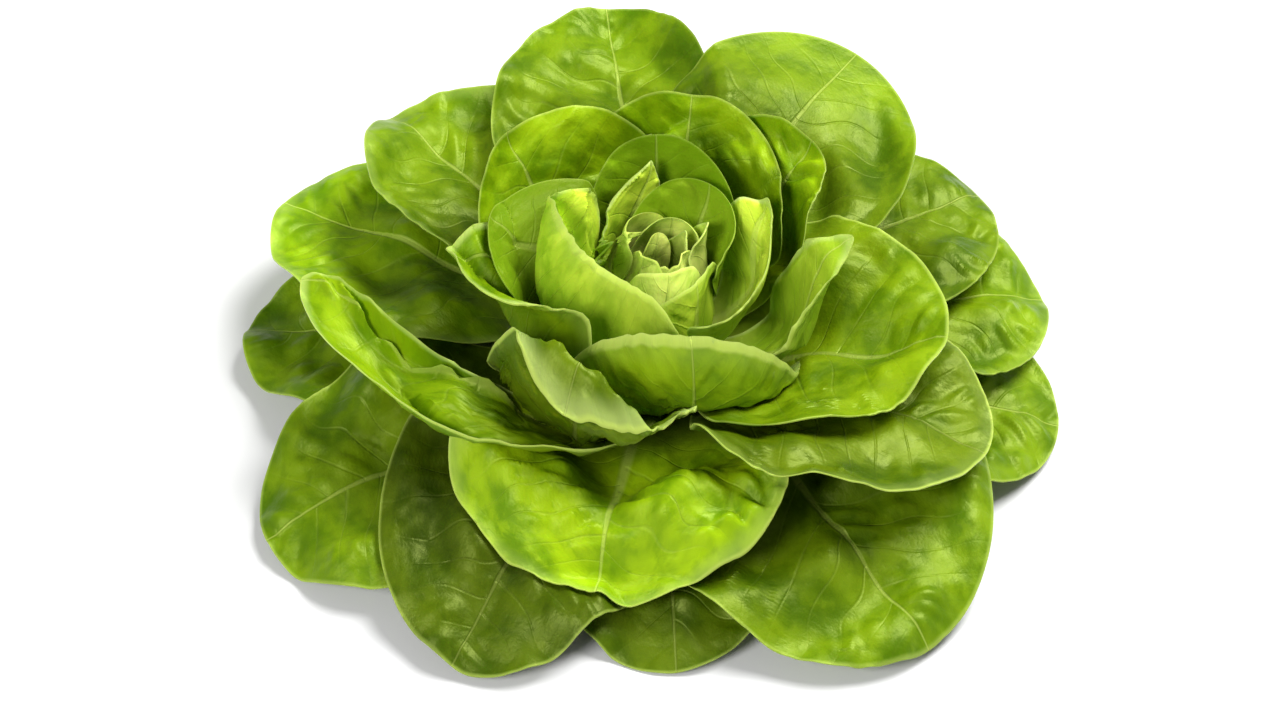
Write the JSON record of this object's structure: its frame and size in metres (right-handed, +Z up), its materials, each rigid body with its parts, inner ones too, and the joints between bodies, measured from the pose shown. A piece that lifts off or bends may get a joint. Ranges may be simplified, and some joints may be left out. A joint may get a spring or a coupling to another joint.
{
  "type": "butterhead lettuce head",
  "caption": "Opened butterhead lettuce head: a low rosette of broad cupped leaves round a small upright heart, standing on its short cut stem.",
  "frame": {"origin": "centre of the stem's flat cut face, which the head stands on", "axes": "+Z up along the stem to the heart, +X to the right and +Y to the back as the head is seen from its front"},
  "size_m": [0.2646, 0.2365, 0.084],
  "materials": {
    "outer_blade": "fresh leaf, waxy and blistered, dark olive green with a paler midrib and veins",
    "middle_blade": "fresh leaf, waxy and blistered, mid green with a pale midrib and veins",
    "inner_blade": "fresh leaf, waxy, yellow green with a pale midrib and veins",
    "heart_blade": "young leaf, crinkled, pale yellow green",
    "stem_flesh": "firm pale green flesh, satin, dry on the cut face"
  },
  "bodies": {
    "root": {"heart_leaf_01": "heart_blade", "heart_leaf_02": "heart_blade", "heart_leaf_03": "heart_blade", "heart_leaf_04": "heart_blade", "heart_leaf_05": "heart_blade", "heart_leaf_06": "heart_blade", "heart_leaf_07": "heart_blade", "heart_leaf_08": "heart_blade", "heart_leaf_09": "heart_blade", "inner_leaf_01": "inner_blade", "inner_leaf_02": "inner_blade", "inner_leaf_03": "inner_blade", "inner_leaf_04": "inner_blade", "inner_leaf_05": "inner_blade", "inner_leaf_06": "inner_blade", "inner_leaf_07": "inner_blade", "inner_leaf_08": "inner_blade", "middle_leaf_01": "middle_blade", "middle_leaf_02": "middle_blade", "middle_leaf_03": "middle_blade", "middle_leaf_04": "middle_blade", "middle_leaf_05": "middle_blade", "middle_leaf_06": "middle_blade", "middle_leaf_07": "middle_blade", "middle_leaf_08": "middle_blade", "middle_leaf_09": "middle_blade", "middle_leaf_10": "middle_blade", "outer_leaf_01": "outer_blade", "outer_leaf_02": "outer_blade", "outer_leaf_03": "outer_blade", "outer_leaf_04": "outer_blade", "outer_leaf_05": "outer_blade", "outer_leaf_06": "outer_blade", "outer_leaf_07": "outer_blade", "outer_leaf_08": "outer_blade", "outer_leaf_09": "outer_blade", "outer_leaf_10": "outer_blade", "outer_leaf_11": "outer_blade", "outer_leaf_12": "outer_blade", "stem": "stem_flesh"}
  },
  "joints": []
}
